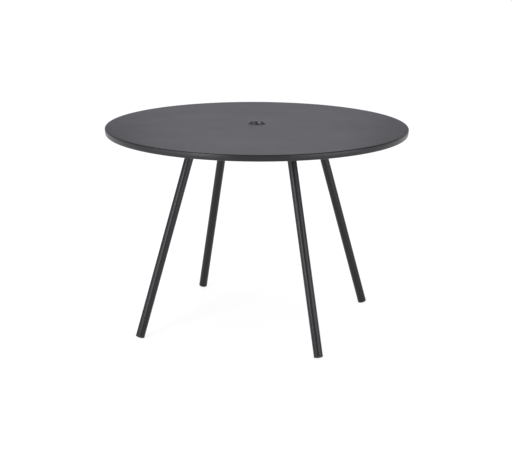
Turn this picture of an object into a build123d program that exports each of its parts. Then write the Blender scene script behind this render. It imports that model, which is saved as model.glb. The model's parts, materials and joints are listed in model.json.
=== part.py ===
from build123d import *
import os
from math import cos, radians, sin, sqrt, tan

# Round garden table: a crowned sheet top on a hidden cross frame, four splayed tube legs
# and a bush for an umbrella pole. Millimetres, Z up, origin on the floor under the middle.

# Top
top_diameter = 1100
edge_height = 743  # floor to the top's edge
crown_rise = 8  # the middle stands this much above the edge, so that rain runs off
sheet_thickness = 2.5
rim_height = 23
rim_inset = 2.5  # the rim's foot lies this far inside its shoulder
rim_shoulder_radius = 4
rim_foot_radius = 5
hem_width = 14  # the rim's return under the top

# Umbrella bush and its nut
pole_bore_diameter = 50
bush_wall = 3
bush_flange_overhang = 4  # past the sleeve
bush_flange_height = 2.5
bush_flange_rounding = 1.2
bush_mouth_depth = 7  # the bore widens over this depth, to lead the pole in
bush_mouth_taper = 13  # degrees to a side
bush_mouth_rounding = 2.5
bush_length = 26  # sleeve under the flange
bush_hole_clearance = 0.25
bush_seat_play = 0.05  # between the crowned sheet and the flat faces that clamp it
nut_diameter = 76
nut_height = 9
nut_notch_count = 8
nut_notch_width = 8
nut_notch_depth = 3

# Cross frame under the top
bond_line = 0.3  # adhesive between frame and sheet
hub_diameter = 110
hub_wall = 5
arm_wall = 2
arm_web_width = 56
arm_flange_width = 86
arm_web_recess = 2  # the arms' webs lie this far above the rim's foot
arm_slope_gap = 20  # from the leg's plate to where the arm begins to run out
arm_slope_length = 125
arm_lip = 17  # the flanges reach this far past the slope
arm_end_radius = 20
arm_bend_radius = 4

# Legs and their plates
leg_count = 4
leg_first_azimuth = 45
leg_diameter = 32
leg_wall = 2
leg_splay = 17.4  # degrees from upright
leg_floor_radius = 473.5  # where a leg's axis meets the floor
plate_length = 124
plate_width = 60
plate_thickness = 6
plate_corner_radius = 10
plate_edge_rounding = 1

# Fasteners of the legs
screw_diameter = 8
screw_length = 20
screw_head_diameter = 14
screw_head_height = 4.4
screw_head_rounding = 7.5
screw_chamfer = 1
screw_socket_width = 5
screw_socket_depth = 2.6
screw_hole_clearance = 0.5
screw_reach = 44  # along the arm, from the leg's middle
screw_side = 17  # across the arm
washer_diameter = 16
washer_thickness = 1.6
weld_nut_width = 13
weld_nut_height = 6.5
thread_play = 0.05

# Levelling glides
collar_height = 1.2
insert_length = 24
insert_fin_count = 3
insert_fin_depth = 0.9
insert_clearance = 0.05
glide_edge_height = 2.4
glide_edge_rounding = 0.8
sole_radius = 40  # the sole is part of a ball
stud_diameter = 8
stud_length = 22  # out of the head
stud_root = 3.5  # in the head
stud_chamfer = 1

# Places worked out from the sizes above
top_radius = top_diameter / 2
crown_radius = (top_radius**2 + crown_rise**2) / (2 * crown_rise)
crown_centre = edge_height + crown_rise - crown_radius
hub_radius = hub_diameter / 2
web_height = edge_height - rim_height + arm_web_recess
plate_bottom = web_height - plate_thickness
plate_radius = leg_floor_radius - plate_bottom * tan(radians(leg_splay))
bore_radius = pole_bore_diameter / 2
bush_radius = bore_radius + bush_wall
bush_hole_radius = bush_radius + bush_hole_clearance
leg_radius = leg_diameter / 2
leg_up = (-sin(radians(leg_splay)), 0, cos(radians(leg_splay)))
leg_out = (cos(radians(leg_splay)), 0, sin(radians(leg_splay)))
sole_edge_depth = sqrt(sole_radius**2 - leg_radius**2)
frame_depth = sheet_thickness + bond_line
leg_names = ("back_right", "back_left", "front_left", "front_right")
leg_azimuths = [leg_first_azimuth + i * 360 / leg_count for i in range(leg_count)]


def dome_height(radius, depth):
    """Height of the crowned surface that lies this deep under the top's skin."""
    return crown_centre + sqrt((crown_radius - depth) ** 2 - radius**2)


def dome_point(radius, depth):
    return (radius, dome_height(radius, depth))


def leg_point(along):
    """Point on the first leg's axis, measured upwards from the middle of the sole's ball."""
    ball_radius = leg_floor_radius - sole_radius * tan(radians(leg_splay))
    return (ball_radius + along * leg_up[0], 0, sole_radius + along * leg_up[2])


def write(part, name):
    part.label = name
    export_step(part, f"parts/{name}.step")


def write_at_legs(part, name):
    for leg_name, azimuth in zip(leg_names, leg_azimuths):
        write(part.rotate(Axis.Z, azimuth), f"{name}_{leg_name}")


os.makedirs("parts", exist_ok=True)

# Top: one sheet, crowned, turned down over a rounded shoulder and rolled under at the foot
shoulder_reach = top_radius - rim_shoulder_radius  # out to the middle of the shoulder's rounding
shoulder_start = dome_point(shoulder_reach * crown_radius / (crown_radius - rim_shoulder_radius), 0)
shoulder_end = (top_radius, dome_height(shoulder_reach, rim_shoulder_radius))
rim_foot = (top_radius - rim_inset, edge_height - rim_height)
with BuildPart() as table_top:
    with BuildSketch(Plane.XZ):
        with BuildLine() as skin:
            ThreePointArc(dome_point(0, 0), dome_point(top_radius / 2, 0), shoulder_start)
            RadiusArc(shoulder_start, shoulder_end, rim_shoulder_radius)
            TangentArc(shoulder_end, rim_foot, tangent=(0, -1))
            Line(rim_foot, (rim_foot[0] - hem_width, rim_foot[1]))
            fillet(skin.vertices().group_by(Axis.Y)[0].sort_by(Axis.X)[-1], rim_foot_radius)
            offset(amount=sheet_thickness, side=Side.RIGHT)
        make_face()
    revolve(axis=Axis.Z)
    with Locations((0, 0, edge_height + crown_rise)):
        Hole(bush_hole_radius)
write(table_top.part, "table_top")

# Umbrella bush: a flange on the sheet and a sleeve through it, widened and rounded at the mouth
bush_seat = dome_height(bush_hole_radius, 0) + bush_seat_play
bush_top = bush_seat + bush_flange_height
bush_bottom = bush_seat - bush_length
bush_flange_radius = bush_radius + bush_flange_overhang
bush_mouth_radius = bore_radius + bush_mouth_depth * tan(radians(bush_mouth_taper))
with BuildPart() as umbrella_bush:
    with BuildSketch(Plane.XZ) as bush_profile:
        Polygon(
            (bore_radius, bush_bottom),
            (bush_radius, bush_bottom),
            (bush_radius, bush_seat),
            (bush_flange_radius, bush_seat),
            (bush_flange_radius, bush_top),
            (bush_mouth_radius, bush_top),
            (bore_radius, bush_top - bush_mouth_depth),
            align=None,
        )
        fillet(bush_profile.vertices().group_by(Axis.Y)[-1].sort_by(Axis.X)[-1], bush_flange_rounding)
        fillet(bush_profile.vertices().group_by(Axis.Y)[-1].sort_by(Axis.X)[0], bush_mouth_rounding)
    revolve(axis=Axis.Z)
write(umbrella_bush.part, "umbrella_bush")

# Ring nut that draws the bush down from below, notched for a spanner
nut_radius = nut_diameter / 2
nut_top = dome_height(nut_radius, sheet_thickness) - bush_seat_play
with BuildPart() as umbrella_nut:
    with BuildSketch(Plane.XY.offset(nut_top - nut_height)):
        Circle(nut_radius)
        Circle(bush_radius + thread_play, mode=Mode.SUBTRACT)
        with PolarLocations(nut_radius, nut_notch_count):
            Rectangle(2 * nut_notch_depth, nut_notch_width, mode=Mode.SUBTRACT)
    extrude(amount=nut_height)
write(umbrella_nut.part, "umbrella_nut")

# Hub: a short tube round the bush, which the arms butt against
hub_top = dome_height(hub_radius, frame_depth)
with BuildPart() as hub_ring:
    with BuildSketch(Plane.XY.offset(web_height)):
        Circle(hub_radius)
        Circle(hub_radius - hub_wall, mode=Mode.SUBTRACT)
    extrude(amount=hub_top - web_height)
write(hub_ring.part, "hub_ring")

# Arm: a pressed hat section, with a level web for the leg, flanges that follow the crown
# and an outer end that runs out to nothing
arm_start = hub_radius - hub_wall
arm_slope_start = plate_radius + plate_length / 2 + arm_slope_gap
arm_slope_end = arm_slope_start + arm_slope_length
arm_end = arm_slope_end + arm_lip
slope_top = dome_height(arm_slope_end, frame_depth)
slope_run = arm_slope_length / (slope_top - web_height)
trough_top = edge_height + crown_rise
trough_end = arm_slope_end + slope_run * (trough_top - slope_top)
trough_corners = (
    (arm_start, web_height),
    (arm_slope_start, web_height),
    (trough_end, trough_top),
    (arm_start, trough_top),
)
with BuildPart() as arm:
    with BuildSketch(Plane.XZ):
        Polygon(*trough_corners, align=None)
    extrude(amount=arm_web_width / 2, both=True)
    bends = arm.edges() - arm.edges().filter_by(Axis.Y) - arm.edges().filter_by(Axis.Z)
    fillet(bends - bends.group_by(Axis.Z)[-1], arm_bend_radius)
    with BuildSketch(Plane.XZ):
        with BuildLine():
            ThreePointArc(*[dome_point(r, frame_depth) for r in (arm_start, arm_slope_start, trough_end)])
            Polyline(
                dome_point(trough_end, frame_depth),
                (trough_end, trough_top),
                (arm_start, trough_top),
                dome_point(arm_start, frame_depth),
            )
        make_face()
    extrude(amount=arm_web_width / 2, both=True, mode=Mode.SUBTRACT)
    with BuildSketch(Plane.XZ):
        with BuildLine():
            for depth in (frame_depth, frame_depth + arm_wall):
                ThreePointArc(*[dome_point(r, depth) for r in (arm_start, arm_slope_start, arm_end)])
            for radius in (arm_start, arm_end):
                Line(dome_point(radius, frame_depth), dome_point(radius, frame_depth + arm_wall))
        make_face()
    extrude(amount=arm_flange_width / 2, both=True)
    fillet(arm.edges().filter_by(Axis.Z).group_by(Axis.X)[-1], arm_end_radius)
    with BuildSketch(Plane.XZ):
        Polygon(*trough_corners, align=None)
        offset(amount=-arm_wall, kind=Kind.INTERSECTION)
    extrude(amount=arm_web_width / 2 - arm_wall, both=True, mode=Mode.SUBTRACT)
    with BuildSketch(Plane.XY.offset(web_height)):
        Circle(hub_radius)
    extrude(amount=crown_rise + rim_height, mode=Mode.SUBTRACT)
    with Locations((plate_radius, 0, web_height)):
        with GridLocations(2 * screw_reach, 2 * screw_side, 2, 2):
            Hole(screw_diameter / 2 + screw_hole_clearance)
write_at_legs(arm.part, "frame_arm")

# Leg plate: bolted up under the arm's web
with BuildPart() as leg_plate:
    with BuildSketch(Plane((plate_radius, 0, plate_bottom))):
        RectangleRounded(plate_length, plate_width, plate_corner_radius)
    extrude(amount=plate_thickness)
    fillet(leg_plate.faces().sort_by(Axis.Z)[0].edges(), plate_edge_rounding)
    with Locations((plate_radius, 0, plate_bottom)):
        with GridLocations(2 * screw_reach, 2 * screw_side, 2, 2):
            Hole(screw_diameter / 2 + screw_hole_clearance)
write_at_legs(leg_plate.part, "leg_plate")

# Leg: a straight tube, square at the foot and mitred level under its plate
glide_seat = glide_edge_height - sole_edge_depth  # along the leg, from the middle of the sole's ball
with BuildPart() as leg:
    with BuildSketch(Plane(leg_point(glide_seat + collar_height), x_dir=leg_out, z_dir=leg_up)):
        Circle(leg_radius)
        Circle(leg_radius - leg_wall, mode=Mode.SUBTRACT)
    extrude(amount=2 * plate_bottom)
    split(bisect_by=Plane.XY.offset(plate_bottom), keep=Keep.BOTTOM)
write_at_legs(leg.part, "leg")

# Foot insert: a collar under the tube and a finned plug in it, threaded for the glide's stud
foot_plane = Plane(leg_point(glide_seat), x_dir=leg_out, z_dir=(0, -1, 0))
foot_axis = Axis(leg_point(glide_seat), leg_up)
fin_radius = leg_radius - leg_wall - insert_clearance
fin_pitch = insert_length / insert_fin_count
thread_radius = stud_diameter / 2 + thread_play
with BuildPart() as foot_insert:
    with BuildSketch(foot_plane):
        with BuildLine():
            fins = [(leg_radius, 0), (leg_radius, collar_height)]
            for i in range(insert_fin_count):
                fins.append((fin_radius, collar_height + i * fin_pitch))
                fins.append((fin_radius - insert_fin_depth, collar_height + (i + 1) * fin_pitch))
            insert_top = collar_height + insert_length
            Polyline((thread_radius, 0), *fins, (thread_radius, insert_top), close=True)
        make_face()
    revolve(axis=foot_axis)
write_at_legs(foot_insert.part, "foot_insert")

# Glide head: a disc as wide as the leg with a ball-shaped sole, which stands on the floor
sole_apex = -glide_edge_height - (sole_radius - sole_edge_depth)
with BuildPart() as glide_head:
    with BuildSketch(foot_plane) as head_profile:
        with BuildLine():
            TangentArc((0, sole_apex), (leg_radius, -glide_edge_height), tangent=(1, 0))
            Polyline(
                (leg_radius, -glide_edge_height),
                (leg_radius, 0),
                (thread_radius, 0),
                (thread_radius, -stud_root),
                (0, -stud_root),
                (0, sole_apex),
            )
        make_face()
        fillet(head_profile.vertices().group_by(Axis.X)[-1].sort_by(Axis.Y)[0], glide_edge_rounding)
    revolve(axis=foot_axis)
write_at_legs(glide_head.part, "glide_head")

# Glide stud: moulded into the head, screwed into the insert
with BuildPart() as glide_stud:
    with BuildSketch(Plane(leg_point(glide_seat - stud_root), x_dir=leg_out, z_dir=leg_up)):
        Circle(stud_diameter / 2)
    extrude(amount=stud_root + stud_length)
    chamfer(glide_stud.edges().sort_by(Axis.Z)[-1], stud_chamfer)
write_at_legs(glide_stud.part, "glide_stud")

# Leg screw: a button head with a hexagon socket, seated at its own origin
head_radius = screw_head_diameter / 2
with BuildPart() as screw:
    with BuildSketch(Plane.XZ):
        with BuildLine():
            crown_edge = (screw_socket_width / 2 + thread_play, -screw_head_height)
            RadiusArc(crown_edge, (head_radius, 0), -screw_head_rounding)
            Polyline(
                (head_radius, 0),
                (screw_diameter / 2, 0),
                (screw_diameter / 2, screw_length),
                (0, screw_length),
                (0, -screw_head_height),
                crown_edge,
            )
        make_face()
    revolve(axis=Axis.Z)
    with BuildSketch(Plane.XY.offset(-screw_head_height)):
        RegularPolygon(screw_socket_width / 2, side_count=6, major_radius=False)
    extrude(amount=screw_socket_depth, mode=Mode.SUBTRACT)
    chamfer(screw.edges().sort_by(Axis.Z)[-1], screw_chamfer)

with BuildPart() as washer:
    with BuildSketch():
        Circle(washer_diameter / 2)
        Circle(screw_diameter / 2 + screw_hole_clearance, mode=Mode.SUBTRACT)
    extrude(amount=washer_thickness)

with BuildPart() as weld_nut:
    with BuildSketch():
        RegularPolygon(weld_nut_width / 2, side_count=6, major_radius=False)
        Circle(screw_diameter / 2 + thread_play, mode=Mode.SUBTRACT)
    extrude(amount=weld_nut_height)

# Four of each to a leg
washer_bottom = plate_bottom - washer_thickness
for fastener, name, height in (
    (screw, "leg_screws", washer_bottom),
    (washer, "leg_washers", washer_bottom),
    (weld_nut, "weld_nuts", web_height + arm_wall),
):
    with BuildPart() as fastener_set:
        with Locations((0, 0, height)):
            with PolarLocations(plate_radius, leg_count, leg_first_azimuth):
                with GridLocations(2 * screw_reach, 2 * screw_side, 2, 2):
                    add(fastener.part)
    write(fastener_set.part, name)
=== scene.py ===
import json
import math

import bmesh
import bpy
from mathutils import Matrix, Vector, noise
from mathutils.bvhtree import BVHTree


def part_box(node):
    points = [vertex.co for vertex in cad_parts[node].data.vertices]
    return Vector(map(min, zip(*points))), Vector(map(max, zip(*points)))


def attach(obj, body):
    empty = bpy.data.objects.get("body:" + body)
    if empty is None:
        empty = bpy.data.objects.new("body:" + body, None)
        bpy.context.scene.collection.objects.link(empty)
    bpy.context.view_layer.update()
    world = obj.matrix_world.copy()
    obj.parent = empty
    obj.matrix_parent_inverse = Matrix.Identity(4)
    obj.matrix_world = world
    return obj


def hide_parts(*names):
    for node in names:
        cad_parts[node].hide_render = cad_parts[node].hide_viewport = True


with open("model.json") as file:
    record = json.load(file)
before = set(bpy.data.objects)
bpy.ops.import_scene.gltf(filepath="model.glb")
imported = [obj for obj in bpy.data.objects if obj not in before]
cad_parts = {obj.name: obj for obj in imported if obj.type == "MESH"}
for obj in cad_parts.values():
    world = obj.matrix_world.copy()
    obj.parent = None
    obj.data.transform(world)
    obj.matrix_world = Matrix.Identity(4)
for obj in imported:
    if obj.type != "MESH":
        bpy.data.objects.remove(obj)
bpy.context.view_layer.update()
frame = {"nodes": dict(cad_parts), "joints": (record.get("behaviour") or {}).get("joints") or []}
scene = bpy.context.scene
scene.view_settings.view_transform = "Standard"
nodes = frame["nodes"]
corners = ("back_right", "back_left", "front_left", "front_right")
print("frame loaded:", len(nodes), "nodes")


# Shader helpers

def newNode(tree, kind, inputs=None, **settings):
    node = tree.nodes.new(kind)
    for name, value in settings.items():
        setattr(node, name, value)
    for name, value in (inputs or {}).items():
        node.inputs[name].default_value = value
    return node


def wire(tree, source, sourceSocket, target, targetSocket):
    tree.links.new(source.outputs[sourceSocket], target.inputs[targetSocket])


def newGroup(name, inputs, outputs):
    group = bpy.data.node_groups.new(name, "ShaderNodeTree")
    for label, kind, value in inputs:
        socket = group.interface.new_socket(label, in_out="INPUT", socket_type=kind)
        socket.default_value = value
    for label, kind in outputs:
        group.interface.new_socket(label, in_out="OUTPUT", socket_type=kind)
    return group, newNode(group, "NodeGroupInput"), newNode(group, "NodeGroupOutput")


def newMaterial(name, **constants):
    material = bpy.data.materials.new(name)
    material.use_nodes = True
    tree = material.node_tree
    shader = tree.nodes["Principled BSDF"]
    for label, value in constants.items():
        shader.inputs[label].default_value = value
    return material, tree, shader


# Coat grain: cloudy colour, fine pimples and the slow waves of a sprayed skin

mixColour = {"A": 6, "B": 7, "Result": 2}  # places of a Mix node's colour sockets
coatNoise = {
    "grain": {"Detail": 2.0, "Roughness": 0.6},
    "wave": {"Detail": 1.0},
    "cloud": {"Detail": 4.0, "Roughness": 0.55},
    "grainTone": 0.35,  # shares of grain and cloud in the tone
    "cloudTone": 0.65,
    "toneSpan": {"From Min": 0.3, "From Max": 0.7},  # the tones that the roughness is spread over
    "waveHeight": 0.3,  # of the waves, beside the grain's 1
}


def makeCoatGrain():
    group, start, end = newGroup(
        "coatGrain",
        [
            ("Dark", "NodeSocketColor", (0.02, 0.02, 0.02, 1)),
            ("Light", "NodeSocketColor", (0.03, 0.03, 0.03, 1)),
            ("Grain Scale", "NodeSocketFloat", 2200.0),
            ("Wave Scale", "NodeSocketFloat", 140.0),
            ("Cloud Scale", "NodeSocketFloat", 9.0),
            ("Rough Low", "NodeSocketFloat", 0.4),
            ("Rough High", "NodeSocketFloat", 0.5),
        ],
        [("Color", "NodeSocketColor"), ("Roughness", "NodeSocketFloat"), ("Height", "NodeSocketFloat")],
    )
    place = newNode(group, "ShaderNodeTexCoord")
    grain = newNode(group, "ShaderNodeTexNoise", coatNoise["grain"])
    wave = newNode(group, "ShaderNodeTexNoise", coatNoise["wave"])
    cloud = newNode(group, "ShaderNodeTexNoise", coatNoise["cloud"])
    for texture, label in ((grain, "Grain Scale"), (wave, "Wave Scale"), (cloud, "Cloud Scale")):
        wire(group, place, "Object", texture, "Vector")
        wire(group, start, label, texture, "Scale")
    shade = newNode(group, "ShaderNodeMath", {1: coatNoise["grainTone"]}, operation="MULTIPLY")
    wire(group, grain, "Fac", shade, 0)
    tone = newNode(group, "ShaderNodeMath", {1: coatNoise["cloudTone"]}, operation="MULTIPLY_ADD")
    wire(group, cloud, "Fac", tone, 0)
    wire(group, shade, "Value", tone, 2)
    colour = newNode(group, "ShaderNodeMix", data_type="RGBA")
    wire(group, tone, "Value", colour, "Factor")
    wire(group, start, "Dark", colour, mixColour["A"])
    wire(group, start, "Light", colour, mixColour["B"])
    wire(group, colour, mixColour["Result"], end, "Color")
    rough = newNode(group, "ShaderNodeMapRange", coatNoise["toneSpan"])
    wire(group, tone, "Value", rough, "Value")
    wire(group, start, "Rough Low", rough, "To Min")
    wire(group, start, "Rough High", rough, "To Max")
    wire(group, rough, "Result", end, "Roughness")
    height = newNode(group, "ShaderNodeMath", {1: coatNoise["waveHeight"]}, operation="MULTIPLY_ADD")
    wire(group, wave, "Fac", height, 0)
    wire(group, grain, "Fac", height, 2)
    wire(group, height, "Value", end, "Height")
    return group


coatGrain = makeCoatGrain()


def grainMaterial(name, look, **constants):
    material, tree, shader = newMaterial(name, **constants)
    grain = newNode(tree, "ShaderNodeGroup", look["grain"], node_tree=coatGrain)
    wire(tree, grain, "Color", shader, "Base Color")
    wire(tree, grain, "Roughness", shader, "Roughness")
    bump = newNode(tree, "ShaderNodeBump", {"Strength": look["bump"], "Distance": look["depth"]})
    wire(tree, grain, "Height", bump, "Height")
    wire(tree, bump, "Normal", shader, "Normal")
    return material


powderLook = {
    "grain": {
        "Dark": (0.007, 0.007, 0.0076, 1),
        "Light": (0.01, 0.0098, 0.0108, 1),
        "Grain Scale": 2400.0,
        "Wave Scale": 160.0,
        "Cloud Scale": 7.0,
        "Rough Low": 0.31,
        "Rough High": 0.37,
    },
    "bump": 0.25,
    "depth": 0.00025,
}
bushLook = {
    "grain": {
        "Dark": (0.01, 0.01, 0.011, 1),
        "Light": (0.015, 0.015, 0.016, 1),
        "Grain Scale": 3000.0,
        "Wave Scale": 300.0,
        "Cloud Scale": 40.0,
        "Rough Low": 0.26,
        "Rough High": 0.32,
    },
    "bump": 0.1,
    "depth": 0.0001,
}
footLook = {
    "grain": {
        "Dark": (0.008, 0.008, 0.008, 1),
        "Light": (0.013, 0.013, 0.013, 1),
        "Grain Scale": 2600.0,
        "Wave Scale": 300.0,
        "Cloud Scale": 60.0,
        "Rough Low": 0.5,
        "Rough High": 0.65,
    },
    "bump": 0.2,
    "depth": 0.0002,
}
steelLook = {
    "grain": {
        "Dark": (0.5, 0.5, 0.5, 1),
        "Light": (0.62, 0.61, 0.6, 1),
        "Grain Scale": 1800.0,
        "Wave Scale": 500.0,
        "Cloud Scale": 90.0,
        "Rough Low": 0.24,
        "Rough High": 0.36,
    },
    "bump": 0.08,
    "depth": 0.0001,
}
zincLook = {
    "grain": {
        "Dark": (0.36, 0.37, 0.4, 1),
        "Light": (0.52, 0.52, 0.52, 1),
        "Grain Scale": 900.0,
        "Wave Scale": 300.0,
        "Cloud Scale": 120.0,
        "Rough Low": 0.3,
        "Rough High": 0.45,
    },
    "bump": 0.1,
    "depth": 0.0001,
}
bondLook = {
    "grain": {
        "Dark": (0.01, 0.01, 0.011, 1),
        "Light": (0.018, 0.018, 0.019, 1),
        "Grain Scale": 900.0,
        "Wave Scale": 260.0,
        "Cloud Scale": 30.0,
        "Rough Low": 0.3,
        "Rough High": 0.45,
    },
    "bump": 0.2,
    "depth": 0.0003,
}
finishes = {
    "powder_coat": grainMaterial("charcoalPowderCoat", powderLook, IOR=1.38),
    "bush_plastic": grainMaterial("satinBushPlastic", bushLook, IOR=1.7),
    "black_plastic": grainMaterial("footPlastic", footLook),
    "stainless_steel": grainMaterial("stainlessSteel", steelLook, Metallic=1.0),
    "zinc_steel": grainMaterial("zincPlate", zincLook, Metallic=1.0),
    "bond": grainMaterial("blackAdhesive", bondLook),
}
for node in nodes.values():
    for holder in node.material_slots:
        holder.material = finishes[holder.material.name]
print("finishes made:", len(finishes))


# Places and sizes read off the frame

def boxIn(node, turned):  # a node's box in a turned frame
    points = [turned @ vertex.co for vertex in nodes[node].data.vertices]
    return [Vector([pick(point[i] for point in points) for i in range(3)]) for pick in (min, max)]


def reachFrom(node, point, axis, pick=max):  # a node's largest or least distance from an axis
    return pick((vertex.co - point).cross(axis).length for vertex in nodes[node].data.vertices)


upward = Vector((0, 0, 1))
legDown = {}  # along each leg to the floor
armFrame = {}  # turns an arm's own frame, outwards and across, into the table's
for joint in frame["joints"]:
    corner = joint["name"].replace("level_", "")
    legDown[corner] = Vector(joint["axis"]).normalized()
    armFrame[corner] = Matrix.Rotation(math.atan2(joint["axis"][1], joint["axis"][0]), 4, "Z")


def studMiddle(corner):
    low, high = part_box("glide_stud_" + corner)
    return (low + high) / 2


def legPoint(corner, height):  # on the leg's axis
    middle = studMiddle(corner)
    return middle + legDown[corner] * ((height - middle.z) / legDown[corner].z)


# Mesh helpers

creaseAngle = math.radians(55)  # sharper edges than this stay crisp
beadRing = {"cornerSteps": 7, "cornerFullness": 0.8, "capSteps": 8}


def loft(name, rings, material, closed=False):
    shape = bmesh.new()
    rows = [[shape.verts.new(point) for point in ring] for ring in rings]
    pairs = list(zip(rows, rows[1:]))
    if closed:
        pairs.append((rows[-1], rows[0]))
    else:
        shape.faces.new(rows[0])
        shape.faces.new(rows[-1])
    for here, there in pairs:
        for k in range(len(here)):
            shape.faces.new((here[k - 1], here[k], there[k], there[k - 1]))
    bmesh.ops.recalc_face_normals(shape, faces=shape.faces)
    mesh = bpy.data.meshes.new(name)
    shape.to_mesh(mesh)
    shape.free()
    mesh.shade_smooth()
    mesh.set_sharp_from_angle(angle=creaseAngle)
    mesh.materials.append(material)
    piece = bpy.data.objects.new(name, mesh)
    scene.collection.objects.link(piece)
    return piece


def cornerRing(corner, out, down, size, sink, swell):  # section of a bead that fills a corner
    ring = [corner - (out + down) * sink, corner + out * size - down * sink]
    steps, fullness = beadRing["cornerSteps"], beadRing["cornerFullness"]
    for k in range(steps + 1):
        angle = math.pi / 2 * k / steps
        bulge = (out * math.cos(angle) ** fullness + down * math.sin(angle) ** fullness) * size
        ring.append(corner + bulge * swell(k / steps))
    ring.append(corner + down * size - out * sink)
    return ring


def capRing(middle, across, proud, width, height, sink, swell):  # section of a bead on a butt joint
    ring = []
    steps = beadRing["capSteps"]
    for k in range(steps + 1):
        angle = math.pi * k / steps
        lift = height * math.sin(angle) * swell(k / steps)
        ring.append(middle + across * (width * math.cos(angle)) + proud * lift)
    return ring + [middle - across * width - proud * sink, middle + across * width - proud * sink]


def ripple(turns, depth, bow):  # weld ripples, bowed across the bead
    def swell(u):
        phase = (turns - bow * 4 * u * (1 - u)) % 1
        return 1 + depth * (abs(2 * phase - 1) - 0.5)
    return swell


# Top: the spun sheet on an even mesh, so that light runs smoothly round its shoulder

spunTop = {
    "sheet": 0.0025,
    "crownRise": 0.008,
    "rimHeight": 0.023,
    "rimInset": 0.0025,  # the rim's foot lies this far inside its shoulder
    "shoulder": 0.004,  # radius between crown and rim
    "foot": 0.005,  # radius between rim and hem
    "hem": 0.014,
    "around": 384,
    "crownSteps": 30,
    "shoulderSteps": 12,
    "rimSteps": 8,
    "footSteps": 12,
}


def arcPoints(middle, radius, start, end, steps):
    points = []
    for k in range(steps + 1):
        angle = start + (end - start) * k / steps
        points.append((middle[0] + radius * math.cos(angle), middle[1] + radius * math.sin(angle)))
    return points


def sheetSkin(depth, radius, foot, hole):  # one skin's radii and heights, from the hole to the hem
    shoulder, inset, rise = spunTop["shoulder"], spunTop["rimInset"], spunTop["crownRise"]
    crown = (radius**2 + rise**2) / (2 * rise)
    crownMiddle = (0, foot + spunTop["rimHeight"] + rise - crown)
    lean = math.acos((radius - shoulder) / (crown - shoulder))
    shoulderMiddle = (radius - shoulder, crownMiddle[1] + (crown - shoulder) * math.sin(lean))
    drop = shoulderMiddle[1] - foot
    bow = (inset**2 + drop**2) / (2 * inset)  # radius of the rim's slight bow
    rimMiddle = (radius - bow, shoulderMiddle[1])
    dip = math.asin((drop - spunTop["foot"]) / (bow - spunTop["foot"]))
    footMiddle = arcPoints(rimMiddle, bow - spunTop["foot"], 0, -dip, 1)[1]
    crownStart = math.acos(hole / (crown - depth))
    skin = arcPoints(crownMiddle, crown - depth, crownStart, lean, spunTop["crownSteps"])
    skin += arcPoints(shoulderMiddle, shoulder - depth, lean, 0, spunTop["shoulderSteps"])[1:]
    skin += arcPoints(rimMiddle, bow - depth, 0, -dip, spunTop["rimSteps"])[1:]
    skin += arcPoints(footMiddle, spunTop["foot"] - depth, -dip, -math.pi / 2, spunTop["footSteps"])[1:]
    return skin + [(radius - inset - spunTop["hem"], foot + depth)]


def makeSpunTop():
    low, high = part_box("table_top")
    radius = min(high.x, high.y, -low.x, -low.y)  # inside the CAD box on every side
    hole = reachFrom("table_top", Vector(), upward, min)
    outline = sheetSkin(0, radius, low.z, hole) + sheetSkin(spunTop["sheet"], radius, low.z, hole)[::-1]
    rings = []
    for i in range(spunTop["around"]):
        angle = 2 * math.pi * i / spunTop["around"]
        rings.append([(r * math.cos(angle), r * math.sin(angle), z) for r, z in outline])
    piece = loft("spun_top", rings, finishes["powder_coat"], closed=True)
    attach(piece, "root")
    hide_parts("table_top")


makeSpunTop()
print("top spun")


# Welds of the legs to their plates

legWeld = {"size": 0.0045, "sink": 0.0012, "ripples": 46, "perRipple": 6, "depth": 0.11, "bow": 0.7}


def makeLegWeld(corner):
    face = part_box("leg_plate_" + corner)[0].z
    middle, down = legPoint(corner, face), legDown[corner]
    radius = reachFrom("leg_" + corner, middle, down)
    across = down.cross(upward).normalized()
    outward = upward.cross(across)
    longRadius = radius / -down.z  # the mitred end is an ellipse
    count = legWeld["ripples"] * legWeld["perRipple"]
    rings = []
    for i in range(count):
        angle = 2 * math.pi * i / count
        foot = middle + outward * (longRadius * math.cos(angle)) + across * (radius * math.sin(angle))
        out = (outward * (math.cos(angle) / longRadius) + across * (math.sin(angle) / radius)).normalized()
        swell = ripple(i / legWeld["perRipple"], legWeld["depth"], legWeld["bow"])
        rings.append(cornerRing(foot, out, down, legWeld["size"], legWeld["sink"], swell))
    piece = loft("leg_weld_" + corner, rings, finishes["powder_coat"], closed=True)
    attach(piece, "root")


for corner in corners:
    makeLegWeld(corner)
print("leg welds made")


# Welds of the arms to the hub: a seam across the web and a bead up each side wall

hubWeld = {
    "width": 0.0028,
    "height": 0.001,
    "sink": 0.001,
    "span": 0.92,  # share of the web's width
    "pitch": 0.0022,
    "perRipple": 6,
    "depth": 0.3,
    "bow": 0.7,
    "bluntness": 12,  # the higher, the shorter the tapered ends
    "endShare": 0.02,  # what the taper leaves at the very end
}
hubCorner = {  # what differs on the beads up the side walls
    "width": 0.0042,
    "height": 0.0018,
    "sink": 0.0015,
    "side": 0.028,  # half the web's width
    "start": 0.0015,  # heights above the hub's lower edge
    "end": 0.0195,
    "outset": 0.0012,  # off the corner, along the arm
}


def weldRings(length, place, look):  # place(s) gives middle, across and proud at s from 0 to 1
    count = int(length / look["pitch"]) * look["perRipple"]
    rings = []
    for i in range(count + 1):
        s = i / count
        taper = math.sqrt(max(1 - abs(2 * s - 1) ** look["bluntness"], look["endShare"]))
        middle, across, proud = place(s)
        swell = ripple(i / look["perRipple"], look["depth"], look["bow"])
        width, height = look["width"] * taper, look["height"] * taper
        rings.append(capRing(middle, across, proud, width, height, look["sink"], swell))
    return rings


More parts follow.
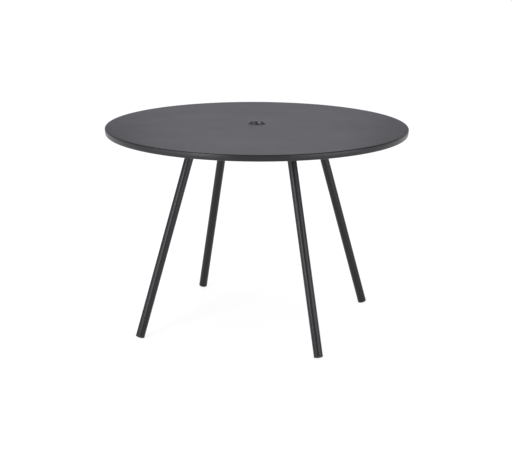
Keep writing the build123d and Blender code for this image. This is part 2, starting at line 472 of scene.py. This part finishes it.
def makeHubWelds(corner):
    turned = armFrame[corner]
    hubRadius = reachFrom("hub_ring", Vector(), upward)
    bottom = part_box("hub_ring")[0].z
    reach = math.asin(hubCorner["side"] / hubRadius) * hubWeld["span"]

    def seam(s):
        angle = reach * (2 * s - 1)
        spoke = Vector((math.cos(angle), math.sin(angle), 0))
        return turned @ (spoke * hubRadius + upward * bottom), turned.to_3x3() @ spoke, -upward

    welds = {"hub_seam_": weldRings(2 * reach * hubRadius, seam, hubWeld)}
    for name, side in (("hub_bead_left_", 1), ("hub_bead_right_", -1)):
        edge = Vector((math.sqrt(hubRadius**2 - hubCorner["side"] ** 2), side * hubCorner["side"], 0))
        proud = (edge.normalized() + Vector((0, side, 0))).normalized()
        across = proud.cross(upward)

        def bead(s):
            height = bottom + hubCorner["start"] + s * (hubCorner["end"] - hubCorner["start"])
            place = edge + Vector((hubCorner["outset"], 0, height))
            return turned @ place, turned.to_3x3() @ across, turned.to_3x3() @ proud

        welds[name] = weldRings(hubCorner["end"] - hubCorner["start"], bead, {**hubWeld, **hubCorner})
    for name, rings in welds.items():
        piece = loft(name + corner, rings, finishes["powder_coat"])
        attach(piece, "root")


for corner in corners:
    makeHubWelds(corner)
print("hub welds made")


# Adhesive squeezed out along the arms' flanges

bondBead = {
    "size": 0.0021,
    "sink": 0.0006,
    "wander": 0.22,  # how much the size wanders, and how finely
    "scale": 90.0,
    "step": 0.004,
    "endRadius": 0.02,  # of the flange's outer corners
    "endSteps": 12,
    "hubGap": 0.012,  # from the arm's inner end
}


def flangeOutline(start, end, half):  # points and outward directions, once round the flange from the hub
    radius = bondBead["endRadius"]
    straight = end - radius - start
    count = int(straight / bondBead["step"])
    side = [(Vector((start + straight * i / count, half, 0)), Vector((0, 1, 0))) for i in range(count)]
    for i in range(bondBead["endSteps"] + 1):
        angle = math.pi / 2 * (1 - i / bondBead["endSteps"])
        out = Vector((math.cos(angle), math.sin(angle), 0))
        side.append((Vector((end - radius, half - radius, 0)) + out * radius, out))
    flip = Matrix.Scale(-1, 3, (0, 1, 0))
    tip = int((half - radius) / bondBead["step"])
    for i in range(1, tip):
        side.append((Vector((end, (half - radius) * (1 - i / tip), 0)), Vector((1, 0, 0))))
    return side + [(flip @ point, flip @ out) for point, out in reversed(side)]


def makeBondBead(corner, sheet):
    turned = armFrame[corner]
    low, high = boxIn("frame_arm_" + corner, turned.inverted())
    rings = []
    for point, out in flangeOutline(low.x + bondBead["hubGap"], high.x, high.y):
        place = turned @ point
        out = turned.to_3x3() @ out
        hit = sheet.ray_cast(place + out * bondBead["size"], upward)[0]
        foot = Vector((place.x, place.y, hit.z))
        size = bondBead["size"] * (1 + bondBead["wander"] * noise.noise(foot * bondBead["scale"]))
        rings.append(cornerRing(foot, out, -upward, size, bondBead["sink"], lambda u: 1))
    piece = loft("bond_bead_" + corner, rings, finishes["bond"])
    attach(piece, "root")


sheetMesh = nodes["table_top"].data
sheetPoints = [vertex.co for vertex in sheetMesh.vertices]
sheetTree = BVHTree.FromPolygons(sheetPoints, [face.vertices for face in sheetMesh.polygons])
for corner in corners:
    makeBondBead(corner, sheetTree)
print("bond beads made")


# Threads: the studs of the glides, and the bush below its nut

studThread = {
    "pitch": 0.00125,
    "depth": 0.00067,
    "chamfer": 0.0009,
    "flank": 1.6,  # steepness of the flanks
    "crest": 0.2,  # what is cut off the crests
    "around": 36,
    "perPitch": 8,
}
bushThread = {
    "pitch": 0.0036,
    "height": 0.0008,
    "foot": 0.0011,  # half widths of the ridge
    "crest": 0.0005,
    "sink": 0.0004,
    "inset": 0.0006,  # from the sleeve's end and from the nut
    "least": 0.05,  # share of the height at the ridge's ends, and how steeply it rises from there
    "rise": 20,
    "perTurn": 72,
}


def makeStud(corner):
    down = legDown[corner]
    middle = studMiddle(corner)
    radius = reachFrom("glide_stud_" + corner, middle, down)
    along = [(vertex.co - middle).dot(-down) for vertex in nodes["glide_stud_" + corner].data.vertices]
    start, length = middle - down * min(along), max(along) - min(along)
    sideways = down.cross(upward).normalized()
    outward = sideways.cross(down)
    count = int(length / studThread["pitch"] * studThread["perPitch"])
    rings = []
    for i in range(count + 1):
        rise = length * i / count
        room = radius - max(studThread["chamfer"] - (length - rise), 0)
        ring = []
        for k in range(studThread["around"]):
            angle = 2 * math.pi * k / studThread["around"]
            phase = (rise / studThread["pitch"] - angle / (2 * math.pi)) % 1
            groove = min(max(abs(2 * phase - 1) * studThread["flank"] - studThread["crest"], 0), 1)
            thick = min(radius - studThread["depth"] * groove, room)
            spoke = outward * math.cos(angle) + sideways * math.sin(angle)
            ring.append(start - down * rise + spoke * thick)
        rings.append(ring)
    piece = loft("threaded_stud_" + corner, rings, finishes["zinc_steel"])
    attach(piece, "glide_" + corner)
    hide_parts("glide_stud_" + corner)


def makeBushThread():
    sleeve = reachFrom("umbrella_nut", Vector(), upward, min)
    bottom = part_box("umbrella_bush")[0].z + bushThread["inset"] + bushThread["foot"]
    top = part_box("umbrella_nut")[0].z - bushThread["inset"] - bushThread["foot"]
    turns = (top - bottom) / bushThread["pitch"]
    count = int(turns * bushThread["perTurn"])
    sink, crest = bushThread["sink"], bushThread["crest"] / bushThread["foot"]
    rings = []
    for i in range(count + 1):
        s = i / count
        angle = 2 * math.pi * turns * s
        spoke = Vector((math.cos(angle), math.sin(angle), 0))
        height = bottom + s * (top - bottom)
        lift = bushThread["height"] * min(1, bushThread["least"] + bushThread["rise"] * min(s, 1 - s))
        ring = []
        for reach, rise in ((-sink, -1), (0, -1), (lift, -crest), (lift, crest), (0, 1), (-sink, 1)):
            ring.append(spoke * (sleeve + reach) + upward * (height + rise * bushThread["foot"]))
        rings.append(ring)
    piece = loft("bush_thread", rings, finishes["bush_plastic"])
    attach(piece, "root")


for corner in corners:
    makeStud(corner)
makeBushThread()
print("threads cut")


# Camera at the photograph's place, with a long lens

photo = {
    "azimuth": 17.575,  # degrees round the table
    "distance": 4.5387,
    "height": 1.5433,
    "sideways": -0.0012,
    "pitchDown": 14.628,
    "roll": 0.2754,
    "focalPixels": 1262.46,
    "widthPixels": 512,
    "sensor": 36.0,
    "farthest": 200.0,
}
turn = Matrix.Rotation(math.radians(photo["azimuth"]), 4, "Z")  # photograph's frame to the table's


def makeCamera():
    data = bpy.data.cameras.new("photoCamera")
    data.sensor_width = photo["sensor"]
    data.lens = photo["focalPixels"] * photo["sensor"] / photo["widthPixels"]
    data.clip_end = photo["farthest"]
    camera = bpy.data.objects.new("photoCamera", data)
    scene.collection.objects.link(camera)
    place = Matrix.Translation((photo["sideways"], -photo["distance"], photo["height"]))
    tilt = Matrix.Rotation(math.radians(90 - photo["pitchDown"]), 4, "X")
    roll = Matrix.Rotation(math.radians(photo["roll"]), 4, "Z")
    camera.matrix_world = turn @ place @ tilt @ roll
    scene.camera = camera


makeCamera()
print("camera placed")


# Studio: a white floor, a grey room, soft light from overhead, a strip and a fill at the left,
# a box at the right and a panel behind

floorLook = {
    "radius": 60.0,
    "segments": 96,
    "colour": 0.9,
    "lit": 0.4,  # share of the colour that takes light and shadow where the floor is seen
    "glow": 0.8,  # the rest of its white there
}
roomLook = {"front": 0.38, "back": 0.42, "from": -0.6, "to": 0.7}  # strengths, and where they blend
skyLook = {"strength": 0.75, "angle": 50.0}
lightTint = (1.0, 0.985, 1.065)
softBoxes = {  # azimuths in the photograph's frame, from its right side; sizes are width and height
    "leftStrip": {
        "azimuth": 234,
        "distance": 2.6,
        "height": 1.15,
        "aim": 1.15,
        "size": (0.7, 2.1),
        "radiance": 8.2,
    },
    "leftFill": {
        "azimuth": 208,
        "distance": 2.6,
        "height": 1.15,
        "aim": 1.15,
        "size": (0.9, 2.1),
        "radiance": 2.2,
    },
    "rightBox": {
        "azimuth": 318,
        "distance": 2.6,
        "height": 0.75,
        "aim": 0.75,
        "size": (2.2, 1.3),
        "radiance": 3.3,
    },
    "backPanel": {
        "azimuth": 90,
        "distance": 3.0,
        "height": 2.45,
        "aim": 0.74,
        "size": (1.6, 1.9),
        "radiance": 0.47,
    },
}


def makeFloor():
    mesh = bpy.data.meshes.new("floor")
    shape = bmesh.new()
    bmesh.ops.create_circle(
        shape, cap_ends=True, segments=floorLook["segments"], radius=floorLook["radius"]
    )
    shape.to_mesh(mesh)
    shape.free()
    floor = bpy.data.objects.new("floor", mesh)
    scene.collection.objects.link(floor)
    material = bpy.data.materials.new("floorWhite")
    material.use_nodes = True
    material.cycles.emission_sampling = "NONE"
    tree = material.node_tree
    tree.nodes.clear()
    colour = (floorLook["colour"],) * 3 + (1,)
    litColour = (floorLook["lit"] * floorLook["colour"],) * 3 + (1,)
    plain = newNode(tree, "ShaderNodeBsdfDiffuse", {"Color": colour})
    seen = newNode(tree, "ShaderNodeBsdfDiffuse", {"Color": litColour})
    glow = newNode(tree, "ShaderNodeEmission", {"Color": (1, 1, 1, 1), "Strength": floorLook["glow"]})
    both = newNode(tree, "ShaderNodeAddShader")
    wire(tree, seen, "BSDF", both, 0)
    wire(tree, glow, "Emission", both, 1)
    rays = newNode(tree, "ShaderNodeLightPath")
    mirrored = newNode(tree, "ShaderNodeMath", operation="MAXIMUM")
    wire(tree, rays, "Is Glossy Ray", mirrored, 0)
    wire(tree, rays, "Is Transmission Ray", mirrored, 1)
    shown = newNode(tree, "ShaderNodeMath", operation="MAXIMUM")
    wire(tree, rays, "Is Camera Ray", shown, 0)
    wire(tree, mirrored, "Value", shown, 1)
    white = newNode(tree, "ShaderNodeMixShader")
    wire(tree, shown, "Value", white, "Fac")
    wire(tree, plain, "BSDF", white, 1)
    wire(tree, both, "Shader", white, 2)
    side = newNode(tree, "ShaderNodeNewGeometry")  # from below the floor doesn't hide the table
    clear = newNode(tree, "ShaderNodeBsdfTransparent")
    oneSided = newNode(tree, "ShaderNodeMixShader")
    wire(tree, side, "Backfacing", oneSided, "Fac")
    wire(tree, white, "Shader", oneSided, 1)
    wire(tree, clear, "BSDF", oneSided, 2)
    out = newNode(tree, "ShaderNodeOutputMaterial")
    wire(tree, oneSided, "Shader", out, "Surface")
    mesh.materials.append(material)


def makeRoom():
    world = bpy.data.worlds.new("studioRoom")
    world.use_nodes = True
    scene.world = world
    tree = world.node_tree
    tree.nodes.clear()
    place = newNode(tree, "ShaderNodeTexCoord")
    behind = turn @ Vector((0, 1, 0))
    along = newNode(tree, "ShaderNodeVectorMath", {1: behind}, operation="DOT_PRODUCT")
    wire(tree, place, "Generated", along, 0)
    span = {
        "From Min": roomLook["from"],
        "From Max": roomLook["to"],
        "To Min": roomLook["front"],
        "To Max": roomLook["back"],
    }
    fade = newNode(tree, "ShaderNodeMapRange", span, interpolation_type="SMOOTHSTEP")
    wire(tree, along, "Value", fade, "Value")
    light = newNode(tree, "ShaderNodeBackground", {"Color": lightTint + (1,)})
    wire(tree, fade, "Result", light, "Strength")
    out = newNode(tree, "ShaderNodeOutputWorld")
    wire(tree, light, "Background", out, "Surface")


def addLight(name, data, matrix):
    lamp = bpy.data.objects.new(name, data)
    scene.collection.objects.link(lamp)
    lamp.matrix_world = matrix


def makeLights():
    sky = bpy.data.lights.new("skyPanel", "SUN")
    sky.energy = skyLook["strength"]
    sky.angle = math.radians(skyLook["angle"])
    sky.color = lightTint
    addLight("skyPanel", sky, Matrix())
    for name, box in softBoxes.items():
        data = bpy.data.lights.new(name, "AREA")
        data.shape = "RECTANGLE"
        data.size, data.size_y = box["size"]
        data.energy = box["radiance"] * math.pi * data.size * data.size_y  # watts of such a box
        data.color = lightTint
        azimuth = math.radians(box["azimuth"])
        place = Vector((math.cos(azimuth), math.sin(azimuth), 0)) * box["distance"] + upward * box["height"]
        aim = (upward * box["aim"] - place).to_track_quat("-Z", "Y").to_matrix().to_4x4()
        addLight(name, data, turn @ Matrix.Translation(place) @ aim)


makeFloor()
makeRoom()
makeLights()
print("studio lit")
